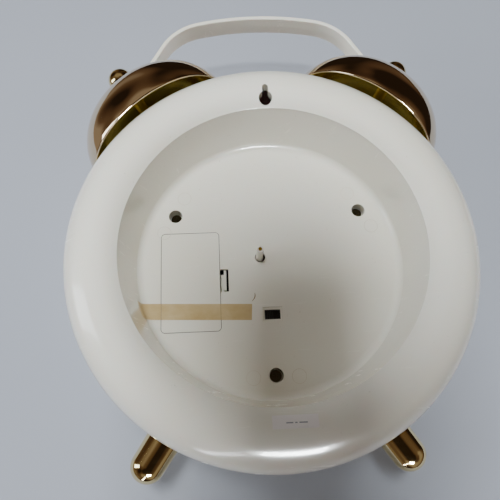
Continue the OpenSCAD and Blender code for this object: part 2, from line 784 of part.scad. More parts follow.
rear_case();
front_case();
lens_ring();
lens();
dial_plate();
hour_markers();
dial_carrier();
case_screws();
bell_left();
bell_right();
bell_post_left();
bell_post_right();
post_nuts();
bell_washers();
ball_nut_left();
ball_nut_right();
handle();
leg_left();
leg_right();
leg_screws();
battery_door();
battery_tray();
battery_cells();
contact_springs();
contact_plates();
switch_lever();
switch_body();
time_knob();
setting_arbor();
motion_wheel();
movement_base();
movement_cover();
movement_nut();
movement_washer();
circuit_board();
coil();
stator();
rotor();
intermediate_wheel();
second_wheel();
third_wheel();
centre_wheel();
minute_cannon();
hour_wheel();
hour_hand();
minute_hand();
second_hand();
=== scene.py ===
"""Looks of a jumbo twin-bell clock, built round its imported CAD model.

The object stands with +Z up and its back towards +Y. Lengths are millimetres until a mesh is made,
and metres for the lights, the shade flag and the camera.
"""
import json
import math

import bmesh
import bpy
from mathutils import Matrix, Vector, noise
from mathutils.bvhtree import BVHTree


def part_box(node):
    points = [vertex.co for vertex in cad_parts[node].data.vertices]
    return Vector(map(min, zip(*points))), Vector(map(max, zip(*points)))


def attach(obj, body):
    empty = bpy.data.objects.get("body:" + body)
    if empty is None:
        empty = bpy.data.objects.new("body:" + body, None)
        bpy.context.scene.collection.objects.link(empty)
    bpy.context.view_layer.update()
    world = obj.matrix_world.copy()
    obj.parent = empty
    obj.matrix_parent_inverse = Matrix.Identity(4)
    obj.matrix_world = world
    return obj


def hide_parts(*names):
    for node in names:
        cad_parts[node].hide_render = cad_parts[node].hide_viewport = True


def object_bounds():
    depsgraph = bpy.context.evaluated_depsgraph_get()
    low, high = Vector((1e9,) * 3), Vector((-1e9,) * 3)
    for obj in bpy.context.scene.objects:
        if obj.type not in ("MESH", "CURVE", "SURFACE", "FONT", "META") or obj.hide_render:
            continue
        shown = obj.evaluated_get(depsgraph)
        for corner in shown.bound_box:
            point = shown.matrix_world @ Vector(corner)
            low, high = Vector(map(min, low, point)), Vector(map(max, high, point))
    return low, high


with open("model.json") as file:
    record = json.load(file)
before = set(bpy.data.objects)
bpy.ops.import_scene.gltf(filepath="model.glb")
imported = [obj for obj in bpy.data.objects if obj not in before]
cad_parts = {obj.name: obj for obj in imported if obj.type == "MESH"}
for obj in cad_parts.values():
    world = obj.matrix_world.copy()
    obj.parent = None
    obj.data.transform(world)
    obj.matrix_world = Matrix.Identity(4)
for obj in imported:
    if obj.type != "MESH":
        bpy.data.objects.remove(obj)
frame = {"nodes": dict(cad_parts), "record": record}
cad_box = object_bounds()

MM = 0.001
NODES = frame["nodes"]


# ---- Driving places, from the frame ----

def box_mm(node):
    """A node's lowest and highest corners at rest."""
    low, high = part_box(node)
    return low / MM, high / MM


case_low, case_high = box_mm("rear_case")
AXIS_Z = (case_low.z + case_high.z) / 2
FRONT_Y = cad_box[0][1] / MM
FLOOR_Y = box_mm("battery_door")[1].y
DIAL_Y = box_mm("dial_plate")[0].y
CASE_R = 120  # the round case's own radius
ball_low, ball_high = box_mm("ball_nut_left")
BALL_R = (ball_high.y - ball_low.y) / 2
BELL_ANGLE = math.atan2(ball_high.x - BALL_R, ball_high.z - BALL_R - AXIS_Z)


# ---- Materials ----

def new_material(name, color, rough, metallic=0.0, **sockets):
    """A Principled material with its constants on the shader's own sockets."""
    mat = bpy.data.materials.new(name)
    mat.use_nodes = True
    shader = mat.node_tree.nodes["Principled BSDF"]
    shader.inputs["Base Color"].default_value = (*color, 1)
    shader.inputs["Roughness"].default_value = rough
    shader.inputs["Metallic"].default_value = metallic
    for socket, value in sockets.items():
        shader.inputs[socket.replace("_", " ")].default_value = value
    return mat


def set_stops(node, stops):
    """Gives a colour ramp its (position, colour) stops; a plain number is a grey."""
    points = node.color_ramp.elements
    while len(points) < len(stops):
        points.new(0.5)
    for point, (place, color) in zip(points, stops):
        point.position = place
        point.color = (color, color, color, 1) if isinstance(color, (int, float)) else (*color, 1)


class Graph:
    """Short names for building a material's node graph."""

    def __init__(self, mat):
        self.tree = mat.node_tree
        self.shader = self.tree.nodes["Principled BSDF"]
        self.where = self.add("ShaderNodeTexCoord").outputs["Object"]

    def add(self, kind, **settings):
        node = self.tree.nodes.new(kind)
        for key, value in settings.items():
            setattr(node, key, value)
        return node

    def link(self, source, target):
        self.tree.links.new(source, target)

    def noise(self, scale, detail=3.0, rough=0.5, stretch=(1, 1, 1)):
        mapping = self.add("ShaderNodeMapping")
        mapping.inputs["Scale"].default_value = stretch
        self.link(self.where, mapping.inputs["Vector"])
        tex = self.add("ShaderNodeTexNoise")
        tex.inputs["Scale"].default_value = scale
        tex.inputs["Detail"].default_value = detail
        tex.inputs["Roughness"].default_value = rough
        self.link(mapping.outputs["Vector"], tex.inputs["Vector"])
        return tex.outputs["Fac"]

    def ramp(self, source, stops):
        node = self.add("ShaderNodeValToRGB")
        set_stops(node, stops)
        self.link(source, node.inputs["Fac"])
        return node.outputs["Color"]

    def mix(self, factor, a, b, kind="MIX"):
        node = self.add("ShaderNodeMix", data_type="RGBA", blend_type=kind)
        for socket, value in (("Factor", factor), ("A", a), ("B", b)):
            target = [i for i in node.inputs if i.name == socket and i.enabled][0]
            if isinstance(value, (int, float)):
                target.default_value = value
            elif isinstance(value, tuple):
                target.default_value = (*value, 1)
            else:
                self.link(value, target)
        return [o for o in node.outputs if o.enabled][0]

    def bump(self, height, strength, distance):
        node = self.add("ShaderNodeBump")
        node.inputs["Strength"].default_value = strength
        node.inputs["Distance"].default_value = distance
        self.link(height, node.inputs["Height"])
        self.link(node.outputs["Normal"], self.shader.inputs["Normal"])

    def rough(self, source, low, high):
        self.link(self.ramp(source, [(0.3, low), (0.7, high)]), self.shader.inputs["Roughness"])

    def color(self, source):
        self.link(source, self.shader.inputs["Base Color"])


def shaded(color, factor):
    """The colour made that much darker or lighter."""
    return tuple(min(1, factor * c) for c in color)


def ivory_plastic(name, pale, warm, rough):
    """Glossy moulded plastic: slow yellowing, settled dust, hairline scratches, faint orange peel."""
    mat = new_material(name, pale, rough, Coat_Weight=0.45, Coat_Roughness=0.06,
                       Subsurface_Weight=0.08, Subsurface_Scale=0.004)
    g = Graph(mat)
    aged = g.ramp(g.noise(9, 4), [(0.35, pale), (0.75, warm)])
    dust = g.ramp(g.noise(520, 2, 0.7), [(0.70, 0.0), (0.78, 1.0)])
    g.color(g.mix(dust, aged, shaded(warm, 0.80)))
    hair = g.ramp(g.noise(36, 6, 0.75, (1, 1, 14)), [(0.60, 0.0), (0.66, 1.0)])
    smears = g.mix(0.35, g.noise(28, 5, 0.6), hair)
    g.rough(smears, rough - 0.06, rough + 0.10)
    g.bump(g.noise(700, 2), 0.05, 0.0002)
    return mat


def gold_metal(name, color, deep, rough):
    """Mirror-bright gold plating with slow ripples, faint wipe marks and thin spots."""
    mat = new_material(name, color, rough, 1.0)
    g = Graph(mat)
    thin = g.ramp(g.noise(14, 4), [(0.35, color), (0.8, deep)])
    specks = g.ramp(g.noise(620, 2, 0.7), [(0.72, 0.0), (0.78, 1.0)])
    g.color(g.mix(specks, thin, shaded(deep, 0.5)))
    g.rough(g.noise(70, 6, 0.65, (1, 1, 4)), max(rough - 0.02, 0.01), rough + 0.05)
    g.bump(g.noise(26, 2), 0.16, 0.0006)
    return mat


def moulded_plastic(name, color, rough, grain=700):
    """Plastic, paint, card or rubber: uneven tone and gloss over a fine grain."""
    mat = new_material(name, color, rough)
    g = Graph(mat)
    g.color(g.ramp(g.noise(40, 4), [(0.3, color), (0.8, shaded([c + 0.01 for c in color], 1.25))]))
    g.rough(g.noise(120, 4), rough - 0.08, rough + 0.1)
    g.bump(g.noise(grain, 2), 0.25, 0.00015)
    return mat


def machined_metal(name, color, rough, stretch=(1, 8, 1)):
    """Turned or drawn metal, with tarnish and tool marks that run along one axis."""
    mat = new_material(name, color, rough, 1.0)
    g = Graph(mat)
    g.color(g.ramp(g.noise(60, 5), [(0.3, color), (0.8, shaded(color, 0.72))]))
    g.rough(g.noise(260, 4, 0.6, stretch), rough - 0.08, rough + 0.12)
    g.bump(g.noise(500, 2, 0.5, stretch), 0.15, 0.0001)
    return mat


def tape_film():
    """Aged cellulose tape: amber adhesive that is denser in blotches and along fine drawn streaks."""
    pale, amber = (0.60, 0.47, 0.26), (0.47, 0.33, 0.14)
    mat = new_material("tape_film", pale, 0.34, Coat_Weight=0.25, Coat_Roughness=0.2)
    g = Graph(mat)
    blotches = g.ramp(g.noise(70, 5, 0.6), [(0.3, pale), (0.75, amber)])
    streaks = g.noise(240, 3, 0.6, (0.2, 1, 1))
    g.color(g.mix(g.ramp(streaks, [(0.45, 0.0), (0.75, 0.5)]), blotches, amber))
    g.rough(g.noise(150, 4), 0.26, 0.5)
    g.bump(g.noise(180, 4, 0.6, (0.3, 1, 1)), 0.3, 0.0002)
    return mat


def clear_lens():
    """Thin clear plastic: see-through, with a polished face and faint wipe marks."""
    mat = new_material("clear_lens", (0.9, 0.92, 0.92), 0.04, Alpha=0.10, IOR=1.49,
                       Coat_Weight=1.0, Coat_Roughness=0.03)
    g = Graph(mat)
    g.rough(g.noise(80, 4), 0.03, 0.09)
    return mat


MATERIALS = {
    "ivory_plastic": ivory_plastic("ivory", (0.80, 0.775, 0.69), (0.76, 0.72, 0.60), 0.24),
    "gold_plating": gold_metal("gold", (0.83, 0.71, 0.40), (0.70, 0.56, 0.28), 0.05),
    "clear_lens": clear_lens(),
    "dial_card": moulded_plastic("dial_card", (0.84, 0.82, 0.76), 0.55, 1500),
    "black_print": moulded_plastic("black_print", (0.006, 0.006, 0.006), 0.4),
    "red_paint": moulded_plastic("red_paint", (0.42, 0.03, 0.02), 0.32),
    "grey_plastic": moulded_plastic("grey_plastic", (0.20, 0.21, 0.22), 0.5),
    "black_plastic": moulded_plastic("black_plastic", (0.003, 0.003, 0.0035), 0.5),
    "white_gear_plastic": moulded_plastic("white_gear", (0.78, 0.77, 0.72), 0.4),
    "brass_part": machined_metal("brass_part", (0.50, 0.34, 0.06), 0.34),
    "zinc_steel": machined_metal("zinc_steel", (0.55, 0.56, 0.57), 0.32),
    # Screws deep in the wells: a yellow zinc finish whose colour is darkened to dark brown as painted
    # shade.
    "yellow_zinc_screw": machined_metal("yellow_zinc", (0.13, 0.11, 0.065), 0.5),
    "rubber_washer": moulded_plastic("rubber", (0.015, 0.015, 0.015), 0.75),
    "copper_winding": machined_metal("copper", (0.60, 0.24, 0.10), 0.35, (12, 1, 1)),
    "green_board": moulded_plastic("green_board", (0.02, 0.14, 0.05), 0.35),
    "cell_jacket": moulded_plastic("cell_jacket", (0.03, 0.08, 0.06), 0.3),
}
BELL_GOLD = gold_metal("bell_gold", (0.78, 0.64, 0.45), (0.68, 0.54, 0.35), 0.03)
BELL_INSIDE = gold_metal("bell_inside", (0.52, 0.40, 0.08), (0.40, 0.30, 0.05), 0.16)
CELL_COPPER = machined_metal("cell_copper", (0.55, 0.27, 0.12), 0.28, (1, 1, 6))
TAPE = tape_film()
STICKER = moulded_plastic("sticker_paper", (0.68, 0.64, 0.61), 0.30, 1400)
# A dark brown colour for a thin bent mark on the recess floor.
BENT_MARK = moulded_plastic("bent_brown_mark", (0.20, 0.12, 0.03), 0.6, 900)
# Darker ivory for the ejector-pin rings: painted shade where their low edges would cast shadow.
PIN_RING_PAINTED_SHADE = moulded_plastic("pin_ring_painted_shade", (0.58, 0.53, 0.43), 0.3)
# Near-black brown for the strip in the door's gap: painted shade, and dirt.
GAP_SHADE_AND_GRIME = moulded_plastic("gap_shade_and_grime", (0.035, 0.022, 0.012), 0.8, 900)


def dress_cad_nodes():
    """Gives every CAD node the material of its slot."""
    for row in frame["record"]["subparts"]:
        obj = NODES[row["node"]]
        obj.data.materials.clear()
        obj.data.materials.append(MATERIALS[row["material_slot"]])


# ---- Mesh making, in millimetres ----

def arc(cx, cy, r, a0, a1, steps):
    """Points on an arc, with angles in degrees."""
    angles = [math.radians(a0 + (a1 - a0) * i / steps) for i in range(steps + 1)]
    return [(cx + r * math.cos(a), cy + r * math.sin(a)) for a in angles]


def lathe(profile, turns=128, closed=False):
    """Turns (radius, height) points about +Z in that many steps. A closed profile makes a ring."""
    verts, rings = [], []
    for r, h in profile:
        if r < 1e-6:
            rings.append([len(verts)] * turns)
            verts.append((0, 0, h))
            continue
        rings.append(list(range(len(verts), len(verts) + turns)))
        for i in range(turns):
            a = 2 * math.pi * i / turns
            verts.append((r * math.cos(a), r * math.sin(a), h))
    pairs = list(zip(rings, rings[1:] + rings[:1])) if closed else list(zip(rings, rings[1:]))
    faces = []
    for low, high in pairs:
        for i in range(turns):
            j = (i + 1) % turns
            face = list(dict.fromkeys((low[i], low[j], high[j], high[i])))
            if len(face) > 2:
                faces.append(face)
    return verts, faces


def joined(parts):
    """Puts several (verts, faces) lists into one."""
    verts, faces = [], []
    for some_verts, some_faces in parts:
        start = len(verts)
        verts += [tuple(v) for v in some_verts]
        faces += [[start + i for i in face] for face in some_faces]
    return verts, faces


def moved(part, matrix):
    """The same (verts, faces) at another place."""
    verts, faces = part
    return [matrix @ Vector(v) for v in verts], faces


def piece(name, part, material, body, replaced=(), sharp=40):
    """Makes a smooth-shaded object from (verts, faces), parents it to its body and hides the CAD nodes it
    replaces.
    """
    verts, faces = part
    mesh = bpy.data.meshes.new(name)
    mesh.from_pydata([Vector(v) * MM for v in verts], [], faces)
    work = bmesh.new()
    work.from_mesh(mesh)
    bmesh.ops.recalc_face_normals(work, faces=work.faces)
    work.to_mesh(mesh)
    work.free()
    mesh.shade_smooth()
    mesh.set_sharp_from_angle(angle=math.radians(sharp))
    mesh.materials.append(material)
    obj = bpy.data.objects.new(name, mesh)
    bpy.context.scene.collection.objects.link(obj)
    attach(obj, body)
    if replaced:
        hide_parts(*replaced)
    return obj


def along_bell(side):
    """Puts +Z along a bell's axis, from the case's axis. side is 1 for +X."""
    return Matrix.Translation((0, 0, AXIS_Z)) @ Matrix.Rotation(side * BELL_ANGLE, 4, "Y")


def out_of_back(x, y, z):
    """Puts +Z along +Y, from that point."""
    return Matrix.Translation((x, y, z)) @ Matrix.Rotation(-math.pi / 2, 4, "X")


# ---- Bells and ball nuts ----

# Distances ending in _D are measured along a bell's axis, from the case's axis
BELL_R = 53.8
BELL_H = 42
BELL_T = 1.2
BELL_D = CASE_R + 0.3
SHOULDER_R = 38
STUD_HOLE_R = 2.1
BEAD_R = 0.9
TAB_D = BELL_D + BELL_H + 1.3
HANDLE_T = 3
NUT_D = TAB_D + HANDLE_T
BALL_D = NUT_D + BALL_R + 0.2
COLLAR_R, NECK_R = 4.2, 3.6


def bell_wall(inset, from_height, steps=28):
    """One face of the bell, from the rim up to the hole for the stud."""
    shoulder_c = BELL_R - SHOULDER_R
    crown_r = (shoulder_c ** 2 + BELL_H ** 2 - SHOULDER_R ** 2) / (2 * (BELL_H - SHOULDER_R))
    crown_c = crown_r - BELL_H
    join = math.degrees(math.atan2(crown_c, shoulder_c))
    start = math.degrees(math.asin(from_height / SHOULDER_R))
    top = math.degrees(math.acos(STUD_HOLE_R / (crown_r - inset)))
    shoulder = arc(shoulder_c, 0, SHOULDER_R - inset, start, join, steps)
    return shoulder + arc(0, -crown_c, crown_r - inset, join, top, steps)[1:]


def make_bell(side, name):
    """A turned shell with a rolled rim, bright outside and a darker gold inside."""
    outer = bell_wall(0, BEAD_R)
    inner = bell_wall(BELL_T, 2 * BEAD_R)
    bead = arc(BELL_R - BEAD_R, BEAD_R, BEAD_R, -210, -15, 14)
    part = lathe(outer + inner[::-1] + bead, 224, closed=True)
    place = along_bell(side) @ Matrix.Translation((0, 0, BELL_D))
    bell = piece(f"{name}_shell", moved(part, place), BELL_GOLD, "case", [name])
    bell.data.materials.append(BELL_INSIDE)
    axis = place.to_3x3() @ Vector((0, 0, 1))
    inside_point = place @ Vector((0, 0, BELL_H / 7))
    for face in bell.data.polygons:
        outward = face.center / MM - inside_point
        outward -= axis * min(outward.dot(axis), 0)
        if face.normal.dot(outward) < 0:
            face.material_index = 1


def make_ball_nut(side, name):
    """A polished ball on a short collar with a turned groove."""
    join = math.degrees(math.asin(NECK_R / BALL_R))
    profile = [(0, NUT_D), (COLLAR_R - 0.2, NUT_D), (COLLAR_R, NUT_D + 0.2)]
    profile += [(COLLAR_R, NUT_D + 0.5), (NECK_R, NUT_D + 0.7)]
    profile += arc(0, BALL_D, BALL_R, join - 90, 90, 40)
    profile[-1] = (0, BALL_D + BALL_R)
    part = moved(lathe(profile, 96), along_bell(side))
    piece(f"{name}_turned", part, MATERIALS["gold_plating"], "case", [name], 30)


# ---- Handle ----

# Its outline: a wide top arc, a tighter corner arc, a straight run, and a bend into each bell's tab
TOP_ARC_R, TOP_ARC_C = 207, -15.4
CORNER_R, CORNER_A0, CORNER_A1 = 39.4, 12, 60
BEND_R = 6
TAB_END = 7
REBATE = 0.9
EDGE_R = 0.7


def up(degrees):
    """The direction that leans that far from straight up, towards +X, as (x, height)."""
    a = math.radians(degrees)
    return Vector((math.sin(a), math.cos(a)))


def across(degrees):
    """The direction a quarter turn clockwise of up(degrees)."""
    a = math.radians(degrees)
    return Vector((math.cos(a), -math.sin(a)))


def half_edge(depth):
    """The handle's outline at a depth under its outer face, from its top to the tab on the +X bell."""
    bell_a = math.degrees(BELL_ANGLE)
    top_c = Vector((0, TOP_ARC_C))
    corner_c = top_c + (TOP_ARC_R - CORNER_R) * up(CORNER_A0)
    run_start = corner_c + (CORNER_R + BEND_R) * up(CORNER_A1)
    run = (run_start.dot(up(bell_a)) - NUT_D - BEND_R) / math.sin(math.radians(CORNER_A1 - bell_a))
    bend_c = run_start + run * across(CORNER_A1)
    points = [top_c + (TOP_ARC_R - depth) * up(a) for a in range(CORNER_A0)]
    points += [corner_c + (CORNER_R - depth) * up(a) for a in range(CORNER_A0, CORNER_A1 + 1)]
    bend_from, bend_to = points[-1], bend_c - (BEND_R + depth) * up(CORNER_A1)
    points += [bend_from.lerp(bend_to, i / 10) for i in range(1, 10)]
    bends = [CORNER_A1 + (bell_a - CORNER_A1) * i / 10 for i in range(11)]
    points += [bend_c - (BEND_R + depth) * up(a) for a in bends]
    return points + [(NUT_D - depth) * up(bell_a) + TAB_END * across(bell_a)]


def handle_section():
    """The band's section as (depth, y) points: round edges, and a step along the inner face."""
    low, high = box_mm("handle")
    half = (high.y - low.y) / 2
    thin = HANDLE_T - REBATE
    corners = ((EDGE_R, half - EDGE_R, 180, 90), (HANDLE_T - EDGE_R, half - EDGE_R, 90, 0))
    points = [p for cx, cy, a0, a1 in corners for p in arc(cx, cy, EDGE_R, a0, a1, 6)]
    points += [(HANDLE_T, 0.15), (HANDLE_T - 0.15, 0), (thin + 0.1, 0), (thin, -0.1)]
    corners = ((thin - EDGE_R, EDGE_R - half, 0, -90), (EDGE_R, EDGE_R - half, -90, -180))
    return points + [p for cx, cy, a0, a1 in corners for p in arc(cx, cy, EDGE_R, a0, a1, 6)]


def make_handle():
    """The section swept along the whole outline, and closed at both ends."""
    verts, section = [], handle_section()
    for depth, y in section:
        right = half_edge(depth)
        both = [Vector((-p.x, p.y)) for p in right[:0:-1]] + right
        verts += [(p.x, y, AXIS_Z + p.y) for p in both]
    length, count = len(both), len(section)
    faces = []
    for i in range(count):
        j = (i + 1) % count
        a, b = i * length, j * length
        faces += [(a + k, a + k + 1, b + k + 1, b + k) for k in range(length - 1)]
    faces += [[i * length + k for i in range(count)] for k in (0, length - 1)]
    piece("handle_band", (verts, faces), MATERIALS["ivory_plastic"], "case", ["handle"])


# ---- Controls and the details on the back ----

KNOB_R, KNOB_BASE_R, KNOB_BORE = 2.15, 2.6, 1.17
KNOB_LIP = 0.5
knob_low, knob_high = box_mm("time_knob")


def make_knob():
    """The setting sleeve: a wider foot, a rounded lip, and a countersink round the brass arbor."""
    height = knob_high.y - knob_low.y
    profile = [(KNOB_BORE, 0), (KNOB_BASE_R, 0), (KNOB_BASE_R, 7.0)]
    profile += [(KNOB_BASE_R - 0.25, 9.2), (KNOB_R + 0.08, 14.0), (KNOB_R, height - KNOB_LIP)]
    profile += arc(KNOB_R - KNOB_LIP, height - KNOB_LIP, KNOB_LIP, 0, 90, 8)
    profile += [(KNOB_BORE + 0.2, height), (KNOB_BORE, height - 0.25)]
    middle = (knob_low + knob_high) / 2
    part = moved(lathe(profile, 72, closed=True), out_of_back(middle.x, knob_low.y, middle.z))
    piece("knob_sleeve", part, MATERIALS["ivory_plastic"], "setting", ["time_knob"], 30)


case_mesh = NODES["rear_case"].data
case_tree = BVHTree.FromPolygons([v.co for v in case_mesh.vertices],
                                 [p.vertices[:] for p in case_mesh.polygons])


def on_case(x, z):
    """The outermost point of the case's back at a place, and its normal."""
    point, normal = case_tree.ray_cast(Vector((x, 100, z)) * MM, Vector((0, -1, 0)))[:2]
    return point / MM, normal


def patch(grid, thickness):
    """A thin closed sheet from rows of (point, normal): its top lies on the points."""
    rows, cols = len(grid), len(grid[0])
    top = [p for row in grid for p, n in row]
    under = [p - n * thickness for row in grid for p, n in row]
    count = rows * cols
    faces = []
    for i in range(rows - 1):
        for j in range(cols - 1):
            a, b = i * cols + j, (i + 1) * cols + j
            faces += [(a, a + 1, b + 1, b), (count + b, count + b + 1, count + a + 1, count + a)]
    edge = list(range(cols)) + [i * cols + cols - 1 for i in range(1, rows)]
    edge += [(rows - 1) * cols + j for j in range(cols - 2, -1, -1)]
    edge += [i * cols for i in range(rows - 2, 0, -1)]
    faces += [(a, b, count + b, count + a) for a, b in zip(edge, edge[1:] + edge[:1])]
    return top + under, faces


def draped(x0, x1, z0, z1, cols, rows, lift, bend=0.0):
    """A grid laid on the case's back. bend bows it sideways, in mm."""
    grid = []
    for i in range(rows + 1):
        v = i / rows
        shift = bend * math.sin(math.pi * v)
        row = []
        for j in range(cols + 1):
            point, normal = on_case(x0 + (x1 - x0) * j / cols + shift, z0 + (z1 - z0) * v)
            row.append((point + normal * lift, normal))
        grid.append(row)
    return grid


# The recess's flat floor, its rounded edge, and how steeply the wall above climbs
FLAT_R, COVE_R = 78.0, 4.6
WALL_SLOPE = 7.9

# The door's plate: its box also takes in the latch on one side and the hooks on the other
LATCH_REACH = 4
DOOR_W = 36
DOOR_GAP = 0.18
door_low, door_high = box_mm("battery_door")
DOOR_X0 = door_low.x + LATCH_REACH
DOOR_X1 = DOOR_X0 + DOOR_W

# The tape strip; its top is a height over the case's axis, at its right end
TAPE_RIGHT = 12.4
TAPE_FLAT_END = 73.0
TAPE_TOP = -24.8
TAPE_W = 9.9
TAPE_SLOPE = 0.0404
TAPE_T = 0.07
TAPE_LIFT = 0.12
TAPE_CLIMB_R = 83.4


def tape_point(x, share):
    """A point of the tape: x across the case, and share from its upper edge to its lower one."""
    v = TAPE_TOP + TAPE_SLOPE * (x - TAPE_RIGHT) - TAPE_W * share
    wrinkle = 0.05 * noise.noise(Vector((0.25 * x, 0.9 * v, 3)))
    return Vector((x, FLOOR_Y + TAPE_LIFT + wrinkle, AXIS_Z + v))


def tape_strip(x0, x1, cols, slant=0.0):
    """A flat stretch of tape. slant cuts its right end askew."""
    rows, up_y, grid = 8, Vector((0, 1, 0)), []
    for i in range(rows + 1):
        share = i / rows
        start = x0 + slant * share
        grid.append([(tape_point(start + (x1 - start) * j / cols, share), up_y) for j in range(cols + 1)])
    return grid


def cove_points(v):
    """The tape's climb up the rounded edge of the recess, as (x, y, sideways lean, upward lean)."""
    points = []
    for degrees in range(0, 81, 10):
        a = math.radians(degrees)
        r, y = FLAT_R + COVE_R * math.sin(a), FLOOR_Y + COVE_R * (1 - math.cos(a))
        points.append((math.sqrt(r * r - v * v), y, -math.sin(a), math.cos(a)))
    wall_r = FLAT_R + COVE_R
    for i in range(1, 5):
        r = wall_r + (TAPE_CLIMB_R - wall_r) * i / 4
        y = FLOOR_Y + COVE_R + WALL_SLOPE * (r - wall_r)
        points.append((math.sqrt(r * r - v * v), y, -0.99, 0.12))
    return points


def make_tape():
    """The strip is cut along both edges of the door, so that the middle stretch rides with it."""
    right = patch(tape_strip(TAPE_RIGHT, DOOR_X0 - DOOR_GAP, 24, 0.6), TAPE_T)
    piece("tape_right_end", right, TAPE, "case")
    over = patch(tape_strip(DOOR_X0 - 0.05, DOOR_X1 - 0.05, 40), TAPE_T)
    piece("tape_over_door", over, TAPE, "door")
    grid = []
    for row in tape_strip(DOOR_X1 + DOOR_GAP, TAPE_FLAT_END, 8):
        z = row[-1][0].z
        climb = []
        for x, y, lean, rise in cove_points(z - AXIS_Z):
            normal = Vector((lean, rise, 0))
            climb.append((Vector((x, y, z)) + normal * TAPE_LIFT, normal))
        grid.append(row + climb)
    piece("tape_left_end", patch(grid, TAPE_T), TAPE, "case")


def make_marks():
    """Ejector-pin rings in the recess floor, coloured darker than the case as painted shade, and a thin
    bent dark brown mark that narrows to both ends.
    """
    ring = [(4.1, -0.02), (4.17, 0.06), (4.33, 0.06), (4.4, -0.02)]
    places = [(side * x, v) for x, v in ((53, 46), (66, 23), (13.5, -69)) for side in (-1, 1)]
    rings = [moved(lathe(ring, 64, closed=True), out_of_back(x, FLOOR_Y, AXIS_Z + v)) for x, v in places]
    # The rings take the darker ivory as painted shade.
    piece("pin_marks", joined(rings), PIN_RING_PAINTED_SHADE, "case")
    # A thin bent dark brown strip laid on the recess floor, narrowing to both ends.
    bent_mark = draped(10.2, 10.8, AXIS_Z - 18.0, AXIS_Z - 23.2, 3, 12, 0.06, -0.9)
    for i, row in enumerate(bent_mark):
        middle, squeeze = (row[0][0] + row[-1][0]) / 2, 0.25 + 0.75 * math.sin(math.pi * (i + 1) / 14)
        drift = Vector((0.16 * i, 0, 0))
        bent_mark[i] = [(middle + (p - middle) * squeeze + drift, n) for p, n in row]
    piece("bent_brown_mark", patch(bent_mark, 0.05), BENT_MARK, "case")


def rounded_frame(x0, x1, v0, v1, corner, half):
    """A closed flat band that runs round a rounded rectangle, as its inner and outer (x, v) points."""
    bands = []
    for grow in (-half, half):
        r = corner + grow
        corners = ((x1 - corner, v1 - corner, 0), (x0 + corner, v1 - corner, 90))
        corners += ((x0 + corner, v0 + corner, 180), (x1 - corner, v0 + corner, 270))
        bands.append([p for cx, cy, a in corners for p in arc(cx, cy, r, a, a + 90, 8)])
    return bands


def make_gap_grime():
    """A dark strip in the gap round the battery door: painted shade for the narrow gap's depth, and the
    dirt that settles there.
    """
    corner, half_width, top, bottom = 2.6, 0.16, 0.06, 0.5
    v0, v1 = door_low.z - AXIS_Z - DOOR_GAP, door_high.z - AXIS_Z + DOOR_GAP
    inner, outer = rounded_frame(DOOR_X0 - DOOR_GAP, DOOR_X1 + DOOR_GAP, v0, v1, corner, half_width)
    verts, count = [], len(inner)
    for y in (FLOOR_Y - top, FLOOR_Y - bottom):
        for band in (inner, outer):
            verts += [(x, y, AXIS_Z + v) for x, v in band]
    faces = []
    for i in range(count):
        j = (i + 1) % count
        for a, b in ((0, 1), (1, 3), (3, 2), (2, 0)):
            faces.append((a * count + i, a * count + j, b * count + j, b * count + i))
    piece("gap_shade_and_grime", (verts, faces), GAP_SHADE_AND_GRIME, "case")


def make_mouth_lip():
    """The softened edge where the recess meets the rim, a bead only a hair proud of it."""
    mouth_r, mouth_y, bead = 87.0, case_high.y - 4.5, 0.6
    loop = arc(mouth_r + 0.30, mouth_y - 0.46, bead, 0, 345, 23)
    part = moved(lathe(loop, 360, closed=True), out_of_back(0, 0, AXIS_Z))
    piece("mouth_lip", part, MATERIALS["ivory_plastic"], "case")


def make_sticker():
    """A blank paper label on the lower rim, with plain bars where lines of print would be."""
    right, width, lift = 6.4, 23.2, 0.06
    top, bottom, bar_top, bar_bottom = (AXIS_Z + v for v in (-90.5, -97.0, -93.9, -94.5))
    sheet = draped(right - width, right, top, bottom, 40, 10, lift)
    piece("blank_label", patch(sheet, 0.02), STICKER, "case")
    bars = []
    for start, end in ((0.30, 0.45), (0.49, 0.54), (0.58, 0.76)):
        bar = draped(right - width * start, right - width * end, bar_top, bar_bottom, 6, 2, lift + 0.02)
        bars.append(patch(bar, 0.015))
    piece("label_bars", joined(bars), MATERIALS["grey_plastic"], "case")


# ---- Battery bay ----

CELL_R = 7.1
CRIMP_R = CELL_R - 1.2
NUB_H = 1.8
JACKET_SHARE = 0.72


def make_cells():
    """Two AA cells: crimped jacket, insulating ring, steel ends and the positive nub."""
    low, high = box_mm("battery_cells")
    length = high.z - low.z
    body = length - NUB_H
    seam = JACKET_SHARE * body
    jacket = [(CRIMP_R, 0.15), (CELL_R - 0.5, 0), (CELL_R, 0.5), (CELL_R, seam)]
    cap = [(CELL_R, seam), (CELL_R, body - 0.5), (CELL_R - 0.5, body), (CRIMP_R, body - 0.15)]
    foot = [(0, 0.35), (4.6, 0.35), (5.0, 0.6), (CRIMP_R, 0.5), (CRIMP_R, 0.15)]
    crown = [(CRIMP_R, body - 0.15), (CRIMP_R, body - 0.5), (2.9, body - 0.4)]
    crown += [(2.7, body + 0.2)] + arc(2.3, length - 0.4, 0.4, 0, 90, 5) + [(0, length)]
    y = (low.y + high.y) / 2
    upright = Matrix.Translation((low.x + CELL_R, y, low.z))
    flipped = Matrix.Translation((high.x - CELL_R, y, high.z)) @ Matrix.Rotation(math.pi, 4, "X")
    parts = (
        ("cell_jackets", [jacket], MATERIALS["cell_jacket"], "cell_jacket"),
        ("cell_caps", [cap], CELL_COPPER, "cell_jacket"),
        ("cell_ends", [foot, crown], MATERIALS["zinc_steel"], "zinc_steel"),
    )
    for name, profiles, material, slot in parts:
        turned = [lathe(p, 80) for p in profiles]
        part = joined([moved(t, place) for t in turned for place in (upright, flipped)])
        piece(name, part, material, "case", ["battery_cells"], 30)


